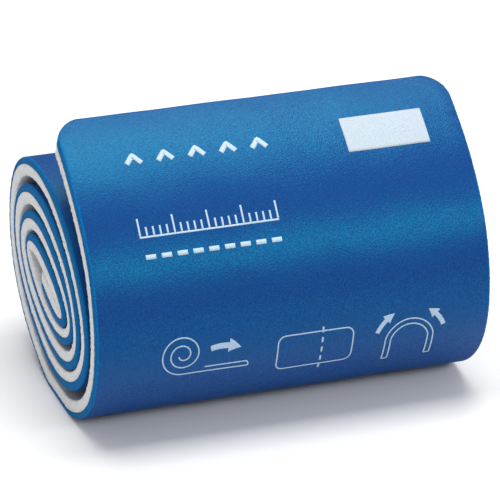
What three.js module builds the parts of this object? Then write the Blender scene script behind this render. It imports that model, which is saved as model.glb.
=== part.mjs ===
// A padded splint, rolled up as it is stored: a strip of white foam under a strip of blue foam,
// both with rounded ends. Millimetres: +X along the roll, +Y to its back, +Z up.
import * as THREE from "three";

// The strip as it is cut
const stripLength = 609.6;
const stripWidth = 101.6;
const cornerRadius = 7.5;
const whiteFoam = 2.7;
const blueFoam = 2.1;
const bondGap = 0.3;
const stripThickness = whiteFoam + blueFoam;

// The way it is rolled up
const foldLength = 30; // the flat loop at the heart of the roll, between its front and back folds
const foldSlit = 0.3; // left open between the two halves of that loop
const windingSkew = 1.4; // how far the inner end stands out at the left
const rollLean = THREE.MathUtils.degToRad(18); // the flat loop rises to the back
const restFlat = 1; // how far the outermost turn is pressed up where the roll rests

// Where the inner end lies, as shares of foldLength and of the strip's thickness,
// with each foam pressed to a share of its own thickness
const innerEnd = { along: 0.25, below: 0.62, white: 0.7, blue: 0.75 };

// The roll from the inner end to the loose one, a row for each quarter turn.
// gap: clearance to the turn inside it, as a share of the strip's thickness
// drift: where the quarter point lies along the other axis, as a share of foldLength
// white, blue: each foam swollen or squeezed there, as a share of its own thickness
const quarterTurns = [
  { side: "under", gap: 0, drift: -0.17, white: 1.28, blue: 1.1 },
  { side: "front", gap: 0, drift: 0, white: 1.2, blue: 1 },
  { side: "top", gap: 0, drift: -0.1, white: 1.28, blue: 1 },
  { side: "back", gap: 0, drift: -0.115, white: 0.85, blue: 0.85 },
  { side: "under", gap: 0.26, drift: -0.07, white: 0.85, blue: 1.1 },
  { side: "front", gap: 0.25, drift: 0.03, white: 0.82, blue: 0.75 },
  { side: "top", gap: 0.31, drift: 0, white: 0.95, blue: 1 },
  { side: "back", gap: 0.12, drift: -0.12, white: 1.15, blue: 0.85 },
  { side: "under", gap: 0.12, drift: -0.105, white: 1.2, blue: 1.1 },
  { side: "front", gap: 0.26, drift: -0.02, white: 0.82, blue: 0.9 },
  { side: "top", gap: 0.18, drift: 0.07, white: 0.95, blue: 1 },
  { side: "back", gap: 0.28, drift: -0.095, white: 1.3, blue: 0.85 },
  { side: "under", gap: 0.19, drift: -0.095, white: 0.95, blue: 1.1 },
  { side: "front", gap: 0.18, drift: 0.02, white: 0.92, blue: 1 },
  { side: "top", gap: 0.34, drift: 0.16, white: 0.98, blue: 1 },
  { side: "back", gap: 0.12, drift: -0.03, white: 1.25, blue: 0.65 },
  { side: "under", gap: 0.58, drift: -0.11, white: 1.1, blue: 0.62 },
  { side: "front", gap: 0.4, drift: 0, white: 1.1, blue: 0.8 },
  { side: "top", gap: 2.33, drift: 0.57, white: 1.22, blue: 1 },
];

// Facets
const arcSteps = 16; // along each quarter turn
const cornerSteps = 8; // round each corner of the strip

// The quarter points: each turn lies on the one inside it, that turn's blue foam, a gap
// and its own white foam away. `along` runs to the back and `up` away from the floor.
function quarterPoints() {
  const inside = {};
  const points = [
    {
      along: innerEnd.along * foldLength,
      up: -innerEnd.below * stripThickness,
      white: innerEnd.white * whiteFoam,
      blue: innerEnd.blue * blueFoam,
    },
  ];
  return (row) => {
    const white = row.white * whiteFoam;
    const blue = row.blue * blueFoam;
    const level = row.side === "under" || row.side === "top";
    const first = level ? foldSlit / 2 + white : foldLength / 2;
    const within = inside[row.side];
    const reach = within ? within.reach + within.blue + row.gap * stripThickness + white : first;
    inside[row.side] = { reach, blue };
    const outwards = row.side === "under" || row.side === "front" ? -reach : reach;
    const drift = row.drift * foldLength;
    points.push({ along: level ? drift : outwards, up: level ? outwards : drift, white, blue, level });
    return points;
  };
}

// A quarter of an ellipse between two quarter points, level at its under or top one.
// Foam that folds onto itself ends at the arc's own axis: along the normal that axis lies
// (short half axis / long half axis) * |d arc / d turn| away.
function quarterArc(from, to, folds) {
  const alongSpan = to.along - from.along;
  const upSpan = to.up - from.up;
  const shape = Math.min(Math.abs(alongSpan / upSpan), Math.abs(upSpan / alongSpan));
  const arc = [];
  for (let i = 0; i < arcSteps; i++) {
    const share = i / arcSteps;
    const turn = (share * Math.PI) / 2;
    const alongStep = alongSpan * (to.level ? Math.sin(turn) : Math.cos(turn));
    const upStep = upSpan * (to.level ? Math.cos(turn) : Math.sin(turn));
    const speed = Math.hypot(alongStep, upStep);
    const room = folds ? shape * speed - foldSlit / 2 : Infinity;
    arc.push({
      along: from.along + alongSpan * (to.level ? 1 - Math.cos(turn) : Math.sin(turn)),
      up: from.up + upSpan * (to.level ? Math.sin(turn) : 1 - Math.cos(turn)),
      outAlong: -upStep / speed,
      outUp: alongStep / speed,
      white: Math.min(THREE.MathUtils.lerp(from.white, to.white, share), room),
      blue: THREE.MathUtils.lerp(from.blue, to.blue, share),
    });
  }
  return arc;
}

// The whole path of the bond between the foams, with the length of strip used up at each
// station. A strip longer than the table goes on round with its last four rows.
function windRoll() {
  const addQuarter = quarterPoints();
  const path = [];
  let used = 0;
  for (let i = 0; used < stripLength; i++) {
    const past = i - quarterTurns.length;
    const row = past < 0 ? quarterTurns[i] : quarterTurns[quarterTurns.length - 4 + (past % 4)];
    const points = addQuarter(row);
    for (const station of quarterArc(points[i], points[i + 1], i > 0)) {
      const last = path.at(-1);
      used += last ? Math.hypot(station.along - last.along, station.up - last.up) : 0;
      path.push({ ...station, used });
    }
  }
  return path;
}

// The station at one length of strip, between its two neighbours on the path
function stationAt(path, length) {
  const next = Math.max(1, path.findIndex((station) => station.used >= length));
  const a = path[next - 1];
  const b = path[next];
  const share = (length - a.used) / (b.used - a.used);
  const station = {};
  for (const key of Object.keys(a)) station[key] = THREE.MathUtils.lerp(a[key], b[key], share);
  return station;
}

// Stations from end to end with the strip's half width at each: the rounded ends are
// halfWidth = stripWidth / 2 - r + sqrt(r^2 - (r - distance from the end)^2)
function stripStations() {
  const path = windRoll();
  const corner = [];
  for (let i = 0; i <= cornerSteps; i++) {
    corner.push(cornerRadius * (1 - Math.cos(((i / cornerSteps) * Math.PI) / 2)));
  }
  const inner = corner.map((fromEnd) => stationAt(path, fromEnd));
  const outer = corner.map((fromEnd) => stationAt(path, stripLength - fromEnd)).reverse();
  const between = path.filter(
    (station) => station.used > cornerRadius && station.used < stripLength - cornerRadius,
  );
  return [...inner, ...between, ...outer].map((station) => {
    const fromEnd = Math.min(station.used, stripLength - station.used, cornerRadius);
    const bulge = Math.sqrt(Math.max(0, cornerRadius ** 2 - (cornerRadius - fromEnd) ** 2));
    return { ...station, halfWidth: stripWidth / 2 - cornerRadius + bulge };
  });
}

// A point of the rolled strip: depth is measured outwards from the bond, and side is -1 or 1
function stripPoint(station, depth, side) {
  const along = station.along + station.outAlong * depth;
  const up = station.up + station.outUp * depth;
  const x = side * station.halfWidth - windingSkew * (1 - station.used / stripLength);
  const y = along * Math.cos(rollLean) - up * Math.sin(rollLean);
  const z = along * Math.sin(rollLean) + up * Math.cos(rollLean);
  return new THREE.Vector3(x, y, z);
}

// The strip lifted, at its full thickness, wherever its outside would be below the rest:
// restFlat above the lowest point of the free roll
function restStrip(stations) {
  const heights = stations.map((station) => stripPoint(station, station.blue, 1).z);
  const rest = Math.min(...heights) + restFlat;
  return stations.map((station, i) => ({ ...station, lift: Math.max(0, rest - heights[i]) }));
}

// One foam of the strip as a closed body: a ring of four points at each station
function foamStrip(name, material, stations, depths) {
  const positions = [];
  for (const station of stations) {
    const [inside, outside] = depths(station);
    for (const [depth, side] of [[inside, -1], [inside, 1], [outside, 1], [outside, -1]]) {
      const point = stripPoint(station, depth, side);
      positions.push(point.x, point.y, point.z + station.lift);
    }
  }
  const indices = [0, 1, 2, 0, 2, 3];
  for (let i = 0; i < stations.length - 1; i++) {
    for (let corner = 0; corner < 4; corner++) {
      const a = 4 * i + corner;
      const b = 4 * i + ((corner + 1) % 4);
      indices.push(a, a + 4, b, b, a + 4, b + 4);
    }
  }
  const end = 4 * (stations.length - 1);
  indices.push(end, end + 2, end + 1, end, end + 3, end + 2);
  const geometry = new THREE.BufferGeometry();
  geometry.setAttribute("position", new THREE.Float32BufferAttribute(positions, 3));
  geometry.setIndex(indices);
  geometry.computeVertexNormals();
  const mesh = new THREE.Mesh(geometry, material);
  mesh.name = name;
  return mesh;
}

const blueFinish = new THREE.MeshStandardMaterial({ color: 0x1560a8, roughness: 0.55, metalness: 0 });
const whiteFinish = new THREE.MeshStandardMaterial({ color: 0xe4e4e6, roughness: 0.8, metalness: 0 });

const stations = restStrip(stripStations());
const roll = new THREE.Group();
roll.add(
  foamStrip("blue_foam", blueFinish, stations, (at) => [bondGap / 2, at.blue]),
  foamStrip("white_foam", whiteFinish, stations, (at) => [-at.white, -bondGap / 2]),
);

// The origin is at the middle of the roll's footprint, on the surface that it rests on
const box = new THREE.Box3().setFromObject(roll);
const middle = box.getCenter(new THREE.Vector3());
roll.position.set(-middle.x, -middle.y, -box.min.z);

export default roll;
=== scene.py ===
import math

import bpy
import mathutils
import numpy as np
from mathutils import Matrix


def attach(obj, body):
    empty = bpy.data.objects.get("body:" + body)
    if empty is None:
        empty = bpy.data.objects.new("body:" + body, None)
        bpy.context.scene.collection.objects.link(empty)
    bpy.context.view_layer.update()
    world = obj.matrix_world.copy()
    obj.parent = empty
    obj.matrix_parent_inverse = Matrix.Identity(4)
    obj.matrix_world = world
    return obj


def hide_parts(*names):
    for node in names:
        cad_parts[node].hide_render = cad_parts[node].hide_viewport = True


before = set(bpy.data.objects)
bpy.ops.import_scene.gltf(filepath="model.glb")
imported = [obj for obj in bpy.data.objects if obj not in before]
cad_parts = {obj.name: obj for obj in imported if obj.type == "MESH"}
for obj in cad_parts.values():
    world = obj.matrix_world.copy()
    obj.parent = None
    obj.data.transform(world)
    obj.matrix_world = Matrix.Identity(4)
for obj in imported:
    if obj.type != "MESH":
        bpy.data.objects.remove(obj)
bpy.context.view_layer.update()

strip = {
    "length": 609.6,
    "width": 101.6,
    "cornerRadius": 7.5,
    "white": 2.7,
    "blue": 2.1,
    "bond": 0.04,  # the gap left between the foams
}

# The way the strip is rolled up: a row for each quarter turn from the inner end to the loose one.
# gap is the clearance to the turn inside it and drift the shift of the quarter point, as shares of the
# strip's thickness and of the fold; white and blue say how far each foam is swollen or squeezed there.
winding = {
    "fold": 30.0,  # the flat loop at the heart of the roll
    "slit": 0.08,  # left open inside that loop
    "skew": 1.4,  # how far the inner end stands out at the left
    "lean": 18.0,  # degrees by which the loop rises to the back
    "restFlat": 1.0,  # how far the roll is pressed up where it rests
    "restBlend": 0.22,  # how softly that flat runs into the round
    "innerEnd": {"along": 0.25, "below": 0.62, "white": 0.7, "blue": 0.75},
    "quarterSteps": 96,
    "columns": ("side", "gap", "drift", "white", "blue"),
    "quarters": (
        ("under", 0, -0.17, 1.28, 1.1),
        ("front", 0, 0, 1.2, 1),
        ("top", 0, -0.1, 1.28, 1),
        ("back", 0, -0.115, 0.85, 0.85),
        ("under", 0.26, -0.07, 0.85, 1.1),
        ("front", 0.25, 0.03, 0.82, 0.75),
        ("top", 0.31, 0, 0.95, 1),
        ("back", 0.12, -0.12, 1.15, 0.85),
        ("under", 0.12, -0.105, 1.2, 1.1),
        ("front", 0.26, -0.02, 0.82, 0.9),
        ("top", 0.18, 0.07, 0.95, 1),
        ("back", 0.28, -0.095, 1.3, 0.85),
        ("under", 0.19, -0.095, 0.95, 1.1),
        ("front", 0.18, 0.02, 0.92, 1),
        ("top", 0.34, 0.16, 0.98, 1),
        ("back", 0.12, -0.03, 1.25, 0.65),
        ("under", 0.58, -0.11, 1.1, 0.62),
        ("front", 0.4, 0, 1.1, 0.8),
        ("top", 2.33, 0.57, 1.22, 1),
    ),
}
quarterTurns = [dict(zip(winding["columns"], row)) for row in winding["quarters"]]


def quarterPoints():
    # Each quarter point lies outside the turn within it by that turn's blue foam, a gap and its own
    # white foam. A row is the point's place along and up, and the white and blue foams' thickness.
    thickness = strip["white"] + strip["blue"]
    end = winding["innerEnd"]
    points = [
        (
            end["along"] * winding["fold"],
            -end["below"] * thickness,
            end["white"] * strip["white"],
            end["blue"] * strip["blue"],
        )
    ]
    inside = {}
    for quarter in quarterTurns:
        side = quarter["side"]
        white = quarter["white"] * strip["white"]
        blue = quarter["blue"] * strip["blue"]
        level = side in ("under", "top")
        reach = winding["slit"] / 2 + white if level else winding["fold"] / 2
        if side in inside:
            reach = inside[side] + quarter["gap"] * thickness + white
        inside[side] = reach + blue
        outwards = reach if side in ("top", "back") else -reach
        aside = quarter["drift"] * winding["fold"]
        points.append((aside, outwards, white, blue) if level else (outwards, aside, white, blue))
    return np.array(points)


def rollPath():
    # Quarter ellipses: along = a sin t and up = b (1 - cos t), or the other way round, with t from 0 to
    # 90 degrees. The outward normal is the tangent turned by 90 degrees; foams change thickness evenly
    # with t. White foam that folds onto itself ends half a slit short of the ellipse's own axis, which
    # along the normal is (short half axis / long half axis) * |d arc / d t| away. A row of the path is
    # its place along and up, the normal's two parts, and the white and blue foams' thickness.
    points = quarterPoints()
    turn = np.linspace(0, math.pi / 2, winding["quarterSteps"], endpoint=False)
    sine = np.sin(turn)
    cosine = np.cos(turn)
    share = turn / (math.pi / 2)
    arcs = []
    for i, quarter in enumerate(quarterTurns):
        level = quarter["side"] in ("under", "top")
        span = points[i + 1] - points[i]
        along = points[i, 0] + span[0] * ((1 - cosine) if level else sine)
        up = points[i, 1] + span[1] * (sine if level else (1 - cosine))
        alongStep = span[0] * (sine if level else cosine)
        upStep = span[1] * (cosine if level else sine)
        speed = np.hypot(alongStep, upStep)
        white = points[i, 2] + span[2] * share
        if i > 0:
            shape = min(abs(span[0] / span[1]), abs(span[1] / span[0]))
            white = np.minimum(white, shape * speed - winding["slit"] / 2)
        blue = points[i, 3] + span[3] * share
        arcs.append(np.stack([along, up, -upStep / speed, alongStep / speed, white, blue], 1))
    path = np.concatenate(arcs)
    steps = np.hypot(np.diff(path[:, 0]), np.diff(path[:, 1]))
    return np.concatenate([[0], np.cumsum(steps)]), path


def placeRoll():
    # The path leaned back, and lifted where the outside would be below the rest:
    # lift = blend * ln(1 + exp((rest - height) / blend)), so that the flat runs smoothly into the round.
    used, path = rollPath()
    lean = math.radians(winding["lean"])
    turned = np.array([[math.cos(lean), math.sin(lean)], [-math.sin(lean), math.cos(lean)]])
    middle = path[:, 0:2] @ turned
    outward = path[:, 2:4] @ turned
    onStrip = used <= strip["length"]
    outside = middle + outward * path[:, 5:6]
    rest = outside[onStrip, 1].min() + winding["restFlat"]
    blend = winding["restBlend"]
    lift = blend * np.logaddexp(0, (rest - outside[:, 1]) / blend)
    middle[:, 1] += lift - rest
    middle[:, 0] -= (outside[onStrip, 0].min() + outside[onStrip, 0].max()) / 2
    return {"used": used, "middle": middle, "outward": outward, "white": path[:, 4], "blue": path[:, 5]}


roll = placeRoll()


def alongRoll(stations):
    # Middle line, outward direction and foam thicknesses at the given lengths of strip.
    def at(values):
        return np.interp(stations, roll["used"], values)

    middle = np.stack([at(roll["middle"][:, 0]), at(roll["middle"][:, 1])], -1)
    outward = np.stack([at(roll["outward"][:, 0]), at(roll["outward"][:, 1])], -1)
    outward /= np.linalg.norm(outward, axis=-1, keepdims=True)
    return middle, outward, at(roll["white"]), at(roll["blue"])


def halfWidth(stations):
    # Half the width less the rounded corners: width / 2 - r + sqrt(r^2 - (r - distance from the end)^2).
    radius = strip["cornerRadius"]
    fromEnd = np.clip(np.minimum(stations, strip["length"] - stations), 0, radius)
    return strip["width"] / 2 - radius + np.sqrt(radius**2 - (radius - fromEnd) ** 2)


waviness = {
    "inner": 0.03,
    "outer": 0.1,
    "outerFrom": 430.0,
    "outerWithin": 60.0,
    "across": (31.0, 19.0, 47.0, 13.0),
    "along": (23.0, -37.0, 61.0, 17.0),
    "phase": (0.4, 2.1, 3.9, 5.2),
    "share": (0.4, 0.28, 0.2, 0.12),
    "edge": 0.16,  # how far the strip's edges wander
    "edgeShort": 9.7,
    "edgeShortPhase": 1.3,
    "edgeLong": 23.0,
}


def waves(across, stations):
    # A sum of four crossing sine waves, gentle on the inner turns and fuller on the outermost one.
    total = np.zeros(np.broadcast(across, stations).shape)
    for wide, long, phase, share in zip(
        waviness["across"], waviness["along"], waviness["phase"], waviness["share"]
    ):
        total += share * np.sin(2 * math.pi * (across / wide + stations / long) + phase)
    outermost = np.clip((stations - waviness["outerFrom"]) / waviness["outerWithin"], 0, 1)
    return total * (waviness["inner"] + (waviness["outer"] - waviness["inner"]) * outermost)


def rollPoints(across, stations, depth):
    # A point of the rolled strip: across from its middle, depth outwards from the bond, all in
    # millimetres. Both edges of the strip wander together by the product of two sine waves.
    middle, outward, _, _ = alongRoll(stations)
    skew = winding["skew"] * (stations / strip["length"] - 0.5)
    short = np.sin(stations / waviness["edgeShort"] + waviness["edgeShortPhase"])
    ragged = waviness["edge"] * short * np.sin(stations / waviness["edgeLong"])
    out = depth + waves(across, stations)
    x = across + skew + ragged
    y = middle[..., 0] + outward[..., 0] * out
    z = middle[..., 1] + outward[..., 1] * out
    return np.stack([x, y, z], -1) / 1000


def makeMesh(name, points, faces, materials):
    mesh = bpy.data.meshes.new(name)
    mesh.from_pydata(points.reshape(-1, 3).tolist(), [], faces)
    for material in materials:
        mesh.materials.append(material)
    mesh.polygons.foreach_set("use_smooth", np.ones(len(mesh.polygons), bool))
    mesh.update()
    piece = bpy.data.objects.new(name, mesh)
    bpy.context.scene.collection.objects.link(piece)
    return piece


fineness = {
    "faceColumns": 34,
    "cornerSteps": 5,
    "sideSteps": 5,
    "endSteps": 24,
    "heart": 66.0,  # up to here the strip is wound tightest
    "heartSpacing": 0.4,
    "spacing": 0.69,
}


def foamRing(foam):
    # The strip's cross-section as one ring, anticlockwise from the left of the outer face. Each point
    # has a share of the half width, an inset from it, a share of the foam's depth and an offset from
    # that. A round corner is r (1 - sin a) in from the side and r (1 - cos a) in from the face, or with
    # sine and cosine the other way round, and a side swells by bulge * (1 - (2 * side - 1)^2). The
    # second array says which of the ring's sides are cut foam.
    outerRound = foam["outerRound"]
    innerRound = foam["innerRound"]
    acrossFace = np.linspace(-1, 1, fineness["faceColumns"])
    corner = np.linspace(0, math.pi / 2, fineness["cornerSteps"] + 2)[1:-1]
    side = np.linspace(0, 1, fineness["sideSteps"])
    swell = foam["bulge"] * (1 - (2 * side - 1) ** 2)

    def rows(share, inset, depth, offset):
        return np.stack(np.broadcast_arrays(share, inset, depth, offset), 1).astype(float)

    outerFace = rows(acrossFace, -outerRound * acrossFace, 1, 0)
    outerCorner = rows(1, -outerRound * (1 - np.sin(corner)), 1, -outerRound * (1 - np.cos(corner)))
    rightSide = rows(1, swell, 1 - side, -outerRound * (1 - side) + innerRound * side)
    innerCorner = rows(1, -innerRound * (1 - np.cos(corner)), 0, innerRound * (1 - np.sin(corner)))
    innerFace = rows(-acrossFace, innerRound * acrossFace, 0, 0)
    rightHalf = np.concatenate([outerCorner, rightSide, innerCorner])
    leftHalf = rightHalf[::-1] * [-1, -1, 1, 1]
    ring = np.concatenate([outerFace, rightHalf, innerFace, leftHalf])
    cut = np.abs(ring[:, 0]) == 1
    cut &= (ring[:, 3] != 0) | (ring[:, 2] != np.roll(ring[:, 2], -1))
    return ring, cut


def foamStrip(name, materials, foam):
    # The ring carried along the rolled strip, and drawn in at both ends by the same rounding:
    # depth = face - (r - sqrt(r^2 - (r - distance from the end)^2)). Both ends are closed by a flat cap.
    # The sides are torn: each of their points is moved across by a normal random step.
    length = strip["length"]
    endSteps = strip["cornerRadius"] * (1 - np.cos(np.linspace(0, math.pi / 2, fineness["endSteps"])))
    heart = np.arange(endSteps[-1] + fineness["heartSpacing"], fineness["heart"], fineness["heartSpacing"])
    between = np.arange(fineness["heart"], length - strip["cornerRadius"], fineness["spacing"])
    stations = np.concatenate([endSteps, heart, between, (length - endSteps)[::-1]])
    ring, cut = foamRing(foam)
    _, _, white, blue = alongRoll(stations)
    fromEnd = np.minimum(stations, length - stations)

    def drawnIn(radius):
        near = np.clip(fromEnd, 0, radius)
        return radius - np.sqrt(radius**2 - (radius - near) ** 2)

    if foam["side"] == "outer":
        outer = blue - drawnIn(foam["outerRound"])
        inner = strip["bond"] / 2 + drawnIn(foam["innerRound"])
    else:
        outer = -strip["bond"] / 2 - drawnIn(foam["outerRound"])
        inner = -white + drawnIn(foam["innerRound"])
    share, inset, depthShare, offset = ring.T
    across = share * halfWidth(stations)[:, None] + inset
    torn = np.random.default_rng(foam["seed"]).standard_normal(across.shape)
    across += foam["torn"] * torn * (np.abs(share) == 1)
    depth = inner[:, None] + (outer - inner)[:, None] * depthShare + offset
    points = rollPoints(across, stations[:, None], depth)
    count, around = across.shape
    first = np.arange(count - 1)[:, None] * around + np.arange(around)
    second = np.arange(count - 1)[:, None] * around + (np.arange(around) + 1) % around
    quads = np.stack([first, second, second + around, first + around], -1).reshape(-1, 4)
    faces = quads[:, ::-1].tolist()
    faces.append(list(range(around)))
    faces.append(list(range((count - 1) * around, count * around))[::-1])
    piece = makeMesh(name, points, faces, materials)
    isCut = np.concatenate([np.tile(cut, count - 1), [True, True]])
    piece.data.polygons.foreach_set("material_index", isCut.astype(np.int32))
    return piece


def socket(node, name, value):
    node.inputs[name].default_value = value


def newMaterial(name, roughness):
    material = bpy.data.materials.new(name)
    material.use_nodes = True
    shader = material.node_tree.nodes["Principled BSDF"]
    socket(shader, "Roughness", roughness)
    return material, material.node_tree, shader


def objectPlaces(tree):
    return tree.nodes.new("ShaderNodeTexCoord").outputs["Object"]


def noiseNode(tree, places, pattern):
    noise = tree.nodes.new("ShaderNodeTexNoise")
    socket(noise, "Scale", pattern["scale"])
    socket(noise, "Detail", pattern["detail"])
    socket(noise, "Roughness", pattern["rough"])
    tree.links.new(places, noise.inputs["Vector"])
    return noise.outputs["Fac"]


def rampNode(tree, value, stops):
    # A stop is a place and either a colour or one number for all three of its parts.
    ramp = tree.nodes.new("ShaderNodeValToRGB")
    for element, (place, colour) in zip(ramp.color_ramp.elements, stops):
        element.position = place
        element.color = (*np.broadcast_to(colour, 3).tolist(), 1)
    tree.links.new(value, ramp.inputs["Fac"])
    return ramp.outputs["Color"]


def bumpNode(tree, height, pattern, below=None):
    bump = tree.nodes.new("ShaderNodeBump")
    socket(bump, "Strength", pattern["strength"])
    socket(bump, "Distance", pattern["distance"])
    tree.links.new(height, bump.inputs["Height"])
    if below is not None:
        tree.links.new(below, bump.inputs["Normal"])
    return bump.outputs["Normal"]


blueFoam = {
    "side": "outer",
    "outerRound": 0.6,
    "innerRound": 0.08,
    "bulge": 0.05,
    "torn": 0.035,
    "seed": 4,
    "shades": ((0.3, (0.009, 0.023, 0.15)), (0.7, (0.01, 0.057, 0.243))),
    "roughness": 0.36,
    "gloss": ((0.35, 0.36), (0.62, 0.26)),  # roughness from the grain's pits to its tops
    "grazing": ((0.25, 0.0), (0.8, 0.55)),  # roughness that a flat angle adds
    "specular": 0.46,
    "specularTint": (0.0, 0.85, 1.0),
    "dents": {"scale": 60, "detail": 2, "rough": 0.5, "strength": 0.25, "distance": 0.0006},
    "grain": {"scale": 2600, "detail": 1, "rough": 0.5, "strength": 0.85, "distance": 0.00006},
    "cutShades": ((0.3, (0.001, 0.085, 0.26)), (0.65, (0.002, 0.155, 0.41))),
    "cutRoughness": 0.85,
    "cutSpecular": 0.1,
    "cutCells": {"scale": 2600, "detail": 2, "rough": 0.6, "strength": 0.6, "distance": 0.00015},
}


def makeBlueFoam():
    # Closed-cell foam with a pressed skin: a dense pebbled grain shades it, dents it and varies its
    # gloss, over broad shallow dents. The skin is duller where it is seen at a flat angle.
    material, tree, shader = newMaterial("blueFoam", blueFoam["roughness"])
    socket(shader, "Specular IOR Level", blueFoam["specular"])
    socket(shader, "Specular Tint", (*blueFoam["specularTint"], 1))
    places = objectPlaces(tree)
    dents = noiseNode(tree, places, blueFoam["dents"])
    grain = noiseNode(tree, places, blueFoam["grain"])
    tree.links.new(rampNode(tree, grain, blueFoam["shades"]), shader.inputs["Base Color"])
    facing = tree.nodes.new("ShaderNodeLayerWeight").outputs["Facing"]
    roughness = tree.nodes.new("ShaderNodeMath")
    roughness.operation = "ADD"
    roughness.use_clamp = True
    tree.links.new(rampNode(tree, grain, blueFoam["gloss"]), roughness.inputs[0])
    tree.links.new(rampNode(tree, facing, blueFoam["grazing"]), roughness.inputs[1])
    tree.links.new(roughness.outputs["Value"], shader.inputs["Roughness"])
    broad = bumpNode(tree, dents, blueFoam["dents"])
    tree.links.new(bumpNode(tree, grain, blueFoam["grain"], broad), shader.inputs["Normal"])
    return material


def makeBlueCut():
    # The same foam where it was cut: no skin, so it is dull, with fine open cells.
    material, tree, shader = newMaterial("blueCut", blueFoam["cutRoughness"])
    socket(shader, "Specular IOR Level", blueFoam["cutSpecular"])
    cells = noiseNode(tree, objectPlaces(tree), blueFoam["cutCells"])
    tree.links.new(rampNode(tree, cells, blueFoam["cutShades"]), shader.inputs["Base Color"])
    tree.links.new(bumpNode(tree, cells, blueFoam["cutCells"]), shader.inputs["Normal"])
    return material


whiteFoam = {
    "side": "inner",
    "outerRound": 0.08,
    "innerRound": 0.35,
    "bulge": 0.12,
    "torn": 0.065,
    "seed": 9,
    "shades": ((0.3, (0.61, 0.62, 0.625)), (0.55, (0.735, 0.74, 0.74))),
    "roughness": 0.85,
    "pores": {"scale": 1500, "strength": 0.25, "distance": 0.0001},
    "clouds": {"scale": 1100, "detail": 3, "rough": 0.6, "strength": 0.3, "distance": 0.00015},
}


def makeWhiteFoam():
    # Soft white foam: open pores of about two thirds of a millimetre dent it, and clouds shade it.
    material, tree, shader = newMaterial("whiteFoam", whiteFoam["roughness"])
    places = objectPlaces(tree)
    cells = tree.nodes.new("ShaderNodeTexVoronoi")
    socket(cells, "Scale", whiteFoam["pores"]["scale"])
    tree.links.new(places, cells.inputs["Vector"])
    clouds = noiseNode(tree, places, whiteFoam["clouds"])
    tree.links.new(rampNode(tree, clouds, whiteFoam["shades"]), shader.inputs["Base Color"])
    pores = bumpNode(tree, cells.outputs["Distance"], whiteFoam["pores"])
    tree.links.new(bumpNode(tree, clouds, whiteFoam["clouds"], pores), shader.inputs["Normal"])
    return material


printing = {
    "line": 0.36,
    "rise": 0.02,  # of the ink's face over the foam's
    "thickness": 0.06,
    "step": 0.4,
    "column": 0.7,
    "roughness": 0.6,
    "thinned": 0.85,  # what is left of the colour in the grain's pits
    "thinnedAt": 0.25,
    "fullAt": 0.6,
    "grain": {"scale": 2600, "detail": 1, "rough": 0.5, "strength": 0.4, "distance": 0.0001},
    "marksInk": (0.45, 0.59, 0.73),
    "sketchInk": (0.36, 0.50, 0.66),
    "labelInk": (0.44, 0.52, 0.59),
}


def makeInk(name, colour):
    # Ink lies in the foam's grain, so it takes the same fine pattern as bump and thins out a little.
    material, tree, shader = newMaterial(name, printing["roughness"])
    grain = noiseNode(tree, objectPlaces(tree), printing["grain"])
    thin = tuple(printing["thinned"] * part for part in colour)
    stops = ((printing["thinnedAt"], thin), (printing["fullAt"], colour))
    tree.links.new(rampNode(tree, grain, stops), shader.inputs["Base Color"])
    tree.links.new(bumpNode(tree, grain, printing["grain"]), shader.inputs["Normal"])
    return material


def travelledAlong(line):
    # How far each point of a line lies along it: the running sum of its segments' lengths.
    return np.concatenate([[0], np.cumsum(np.hypot(*np.diff(line, axis=0).T))])


def pointsAlong(line, travelled, places):
    # The points at the given distances along a line, evenly between its own points.
    return np.stack([np.interp(places, travelled, line[:, 0]), np.interp(places, travelled, line[:, 1])], 1)


def inkMesh(name, strokes, material):
    # Each stroke is a ribbon in the strip's own plane: centre line +- normal * width / 2, in columns
    # narrow enough to follow the round of the roll, laid on the blue foam's outer face.
    allPoints = []
    faces = []
    start = 0
    for stroke, widths in strokes:
        line = np.array(stroke, float)
        travelled = travelledAlong(line)
        fine = np.unique(np.concatenate([travelled, np.arange(0, travelled[-1], printing["step"])]))
        centre = pointsAlong(line, travelled, fine)
        width = np.interp(fine, travelled, np.broadcast_to(np.array(widths, float), len(line)))
        run = np.gradient(centre, axis=0)
        run /= np.linalg.norm(run, axis=1, keepdims=True)
        normal = np.stack([-run[:, 1], run[:, 0]], 1)
        columns = max(2, int(width.max() / printing["column"]) + 2)
        aside = np.linspace(-0.5, 0.5, columns)
        flat = centre[:, None] + normal[:, None] * (width[:, None] * aside)[..., None]
        _, _, _, blue = alongRoll(flat[..., 1])
        allPoints.append(rollPoints(flat[..., 0], flat[..., 1], blue + printing["rise"]).reshape(-1, 3))
        grid = start + np.arange(len(fine) * columns).reshape(len(fine), columns)
        quads = np.stack([grid[:-1, :-1], grid[:-1, 1:], grid[1:, 1:], grid[1:, :-1]], -1)
        faces += quads.reshape(-1, 4).tolist()
        start += grid.size
    piece = makeMesh(name, np.concatenate(allPoints), faces, (material,))
    thickness = piece.modifiers.new("thickness", "SOLIDIFY")
    thickness.thickness = printing["thickness"] / 1000
    thickness.offset = -1  # into the foam
    return piece


def arc(centre, radius, fromDegrees, toDegrees, steps=40, endRadius=None):
    # A circle's arc, or a spiral where endRadius differs: centre + r (cos a, sin a).
    angle = np.radians(np.linspace(fromDegrees, toDegrees, steps))
    radii = np.linspace(radius, radius if endRadius is None else endRadius, steps)
    return np.stack([centre[0] + radii * np.cos(angle), centre[1] + radii * np.sin(angle)], 1)


arrowShape = {
    "steps": 60,
    "headLength": 0.9,  # as a share of the head's width
    "flare": 0.02,
    "point": 0.05,
}


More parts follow.
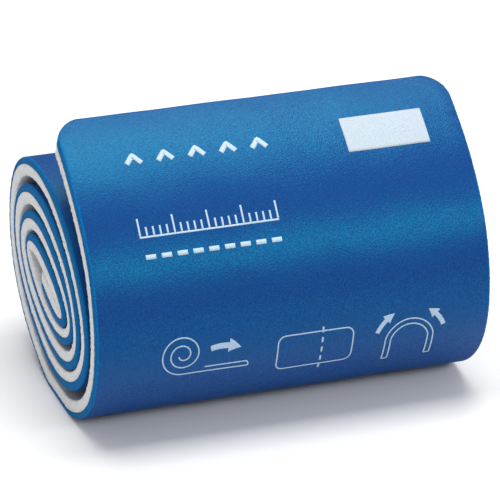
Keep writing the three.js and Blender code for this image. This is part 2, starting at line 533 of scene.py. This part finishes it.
def arrow(line, width, head):
    # A band along the line that widens at once to the head and narrows evenly to its point.
    travelled = travelledAlong(line)
    end = travelled[-1]
    neck = end - head * arrowShape["headLength"]
    shoulder = neck + arrowShape["flare"]
    fine = np.unique(np.concatenate([np.linspace(0, end, arrowShape["steps"]), [neck, shoulder]]))
    widths = np.where(fine <= neck, width, head * (end - fine) / (end - shoulder))
    return pointsAlong(line, travelled, fine), np.maximum(widths, arrowShape["point"])


# Places on the strip are given as across, from its middle to the right, and along, from its inner end
marks = {
    "scale": (-37.0, 575.6),
    "ticks": 21,
    "tickStep": 1.75,
    "tick": 2.2,
    "tickWidth": 1.3,  # in line widths, as the base's is
    "longTick": 4.4,
    "longEvery": 5,
    "baseBelow": 0.2,
    "baseWidth": 1.2,
    "dashes": 9,
    "dashFrom": 0.4,
    "dashStep": 4.0,
    "dashLength": 2.6,
    "dashBelow": 4.9,
    "dashWidth": 1.1,
    "chevron": (-34.0, 595.6),
    "chevrons": 5,
    "chevronStep": 8.0,
    "chevronHalf": 1.9,
    "chevronRise": 0.8,
    "chevronDrop": 1.5,
    "chevronWidth": 1.3,
}


def scaleMarks():
    # A ruler's ticks on a base line, each fifth one long, and a row of dashes under them.
    left, base = marks["scale"]
    strokes = []
    for i in range(marks["ticks"]):
        x = left + i * marks["tickStep"]
        tall = marks["tick"] if i % marks["longEvery"] else marks["longTick"]
        strokes.append((((x, base), (x, base + tall)), printing["line"] * marks["tickWidth"]))
    right = left + (marks["ticks"] - 1) * marks["tickStep"]
    past = marks["baseBelow"]
    baseLine = ((left - past, base - past), (right + past, base - past))
    strokes.append((baseLine, printing["line"] * marks["baseWidth"]))
    level = base - marks["dashBelow"]
    for i in range(marks["dashes"]):
        x = left + marks["dashFrom"] + i * marks["dashStep"]
        strokes.append((((x, level), (x + marks["dashLength"], level)), marks["dashWidth"]))
    return strokes


def chevronMarks():
    # A row of chevrons, each one stroke from its left foot over its point to its right foot.
    left, level = marks["chevron"]
    half = marks["chevronHalf"]
    foot = level - marks["chevronDrop"]
    strokes = []
    for i in range(marks["chevrons"]):
        x = left + i * marks["chevronStep"]
        chevron = ((x - half, foot), (x, level + marks["chevronRise"]), (x + half, foot))
        strokes.append((chevron, marks["chevronWidth"]))
    return strokes


label = {
    "left": 20.0,
    "right": 41.4,
    "along": 594.4,
    "height": 9.6,
}


def labelBlock():
    # One broad stroke: the label is bare.
    middleLine = ((label["left"], label["along"]), (label["right"], label["along"]))
    return [(middleLine, label["height"])]


unrolling = {
    "roll": (-29.0, 546.4),
    "innerRadius": 1.0,
    "outerRadius": 5.6,
    "woundFrom": 200,
    "woundTo": 990,
    "windingSteps": 150,
    "stripFrom": -23.2,
    "stripTo": -12.0,
    "stripThickness": 1.4,
    "stripCorner": (0.4, 0.7),
    "arrowCentre": (-19.0, 535.5),
    "arrowRadius": 12.0,
    "arrowFrom": 104,
    "arrowTo": 66,
    "arrowWidth": 1.5,
    "arrowHead": 3.6,
}


def unrollSketch():
    # A roll seen from its end, its strip drawn out along the ground, and an arrow over it.
    x, level = unrolling["roll"]
    ground = level - unrolling["outerRadius"]
    top = ground + unrolling["stripThickness"]
    end = unrolling["stripTo"]
    cornerAcross, cornerDown = unrolling["stripCorner"]
    spiral = arc(
        unrolling["roll"],
        unrolling["innerRadius"],
        unrolling["woundFrom"],
        unrolling["woundTo"],
        unrolling["windingSteps"],
        unrolling["outerRadius"],
    )
    drawnOut = (
        (unrolling["stripFrom"], top),
        (end - cornerAcross, top),
        (end, top - cornerDown),
        (end, ground),
    )
    over = arc(
        unrolling["arrowCentre"], unrolling["arrowRadius"], unrolling["arrowFrom"], unrolling["arrowTo"]
    )
    return [
        (spiral, printing["line"]),
        (((x, ground), (end, ground)), printing["line"]),
        (drawnOut, printing["line"]),
        arrow(over, unrolling["arrowWidth"], unrolling["arrowHead"]),
    ]


cutting = {
    "left": -2.5,
    "right": 13.0,
    "lower": 539.5,
    "upper": 545.5,
    "corner": 2.0,
    "cornerSteps": 8,
    "cut": (7.0, 535.9),
    "dashes": 5,
    "dashStep": 2.8,
    "dashLength": 1.5,
    "dashWidth": 1.4,  # in line widths
}


def cutSketch():
    # A flat strip with a dashed line across it where it is cut to length. Its corners are quarter
    # circles, clockwise from the upper right one.
    centres = (
        (cutting["right"], cutting["upper"]),
        (cutting["right"], cutting["lower"]),
        (cutting["left"], cutting["lower"]),
        (cutting["left"], cutting["upper"]),
    )
    corners = [
        arc(centre, cutting["corner"], 90 - 90 * i, -90 * i, cutting["cornerSteps"])
        for i, centre in enumerate(centres)
    ]
    outline = np.concatenate([*corners, corners[0][:1]])
    strokes = [(outline, printing["line"])]
    x, lowest = cutting["cut"]
    for i in range(cutting["dashes"]):
        level = lowest + cutting["dashStep"] * i
        dash = ((x, level), (x, level + cutting["dashLength"]))
        strokes.append((dash, printing["line"] * cutting["dashWidth"]))
    return strokes


bending = {
    "centre": (30.0, 541.0),
    "radii": (6.4, 5.0),
    "roundFrom": 10,
    "legs": (6.3, 4.9),  # to either side of the centre
    "legTops": (1.1, 0.9),  # over the centre
    "legFoot": -5.5,
    "arrowRadius": 9.4,
    "arrowFrom": 22,
    "arrowTo": 62,
    "arrowWidth": 1.2,
    "arrowHead": 2.9,
}


def troughSketch():
    # The strip bent to a trough over its two legs, and the way that it closes.
    x, level = bending["centre"]
    start = bending["roundFrom"]
    outerLeg, innerLeg = bending["legs"]
    outerTop, innerTop = bending["legTops"]
    foot = level + bending["legFoot"]
    strokes = []
    for radius in bending["radii"]:
        strokes.append((arc(bending["centre"], radius, start, 180 - start), printing["line"]))
    for side in (-1, 1):
        leg = (
            (x + side * outerLeg, level + outerTop),
            (x + side * outerLeg, foot),
            (x + side * innerLeg, foot),
            (x + side * innerLeg, level + innerTop),
        )
        strokes.append((leg, printing["line"]))
    for side in (-1, 1):
        closing = arc(
            bending["centre"],
            bending["arrowRadius"],
            90 - side * (90 - bending["arrowFrom"]),
            90 - side * (90 - bending["arrowTo"]),
        )
        strokes.append(arrow(closing, bending["arrowWidth"], bending["arrowHead"]))
    return strokes


def printPiece(name, strokes, colour):
    piece = inkMesh(name, strokes, makeInk(name + "Ink", colour))
    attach(piece, "root")
    print(name, len(piece.data.polygons))


cameraPlace = {
    "target": (0.00134, 0.0, 0.03163),
    "distance": 1.0,
    "toTheLeft": 20.07,
    "above": 25.8,
    "roll": 1.09,
    "lens": 288.5,
    "sensor": 36,
    "nearest": 0.05,
}


def makeCamera():
    # Columns of the camera's matrix: its right and its up turned by the roll, and the way back from
    # the target.
    left = math.radians(cameraPlace["toTheLeft"])
    above = math.radians(cameraPlace["above"])
    tilt = math.radians(cameraPlace["roll"])
    back = np.array(
        [-math.sin(left) * math.cos(above), -math.cos(left) * math.cos(above), math.sin(above)]
    )
    level = np.cross(-back, [0, 0, 1])
    level /= np.linalg.norm(level)
    upright = np.cross(level, -back)
    matrix = np.eye(4)
    matrix[:3, 0] = level * math.cos(tilt) + upright * math.sin(tilt)
    matrix[:3, 1] = upright * math.cos(tilt) - level * math.sin(tilt)
    matrix[:3, 2] = back
    matrix[:3, 3] = np.array(cameraPlace["target"]) + back * cameraPlace["distance"]
    data = bpy.data.cameras.new("camera")
    data.lens = cameraPlace["lens"]
    data.sensor_width = cameraPlace["sensor"]
    data.clip_start = cameraPlace["nearest"]
    camera = bpy.data.objects.new("camera", data)
    bpy.context.scene.collection.objects.link(camera)
    camera.matrix_world = matrix.T.tolist()
    bpy.context.scene.camera = camera


studio = {
    "world": 0.45,
    "floor": 0.84,
    "floorRoughness": 0.9,
    "floorHalf": 3.0,
    "aim": (0, 0, 0.03),
    "lights": (
        {"name": "topLight", "at": (0.0, 0.0, 0.85), "size": (0.7, 0.36), "power": 5.2},
        {"name": "backLight", "at": (0.1, 0.35, 0.75), "size": (0.7, 0.4), "power": 2.0},
        {"name": "frontLight", "at": (0.28, -0.7, 0.535), "size": (0.9, 0.15), "power": 3.2},
    ),
}


def makeStudio():
    # A white room, three soft lights aimed at the roll and a pale matt floor.
    scene = bpy.context.scene
    scene.view_settings.view_transform = "Standard"
    world = bpy.data.worlds.new("studio")
    world.use_nodes = True
    background = world.node_tree.nodes["Background"]
    socket(background, "Color", (1, 1, 1, 1))
    socket(background, "Strength", studio["world"])
    scene.world = world
    for light in studio["lights"]:
        data = bpy.data.lights.new(light["name"], "AREA")
        data.shape = "RECTANGLE"
        data.size, data.size_y = light["size"]
        data.energy = light["power"]
        lamp = bpy.data.objects.new(light["name"], data)
        scene.collection.objects.link(lamp)
        lamp.location = light["at"]
        towards = np.array(studio["aim"]) - np.array(light["at"])
        lamp.rotation_euler = mathutils.Vector(towards).to_track_quat("-Z", "Y").to_euler()
    material, _, shader = newMaterial("floor", studio["floorRoughness"])
    socket(shader, "Base Color", (studio["floor"],) * 3 + (1,))
    corners = studio["floorHalf"] * np.array([[-1, -1, 0], [1, -1, 0], [1, 1, 0], [-1, 1, 0]])
    makeMesh("floor", corners, [[0, 1, 2, 3]], (material,))


blueStrip = foamStrip("blueFoamStrip", (makeBlueFoam(), makeBlueCut()), blueFoam)
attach(blueStrip, "root")
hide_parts("blue_foam")
print("blue foam", len(blueStrip.data.polygons))

whiteFinish = makeWhiteFoam()
whiteStrip = foamStrip("whiteFoamStrip", (whiteFinish, whiteFinish), whiteFoam)
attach(whiteStrip, "root")
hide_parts("white_foam")
print("white foam", len(whiteStrip.data.polygons))

printPiece("printedMarks", scaleMarks() + chevronMarks(), printing["marksInk"])
printPiece("printedSketches", unrollSketch() + cutSketch() + troughSketch(), printing["sketchInk"])
printPiece("blankLabel", labelBlock(), printing["labelInk"])

makeStudio()
makeCamera()
print("studio and camera")
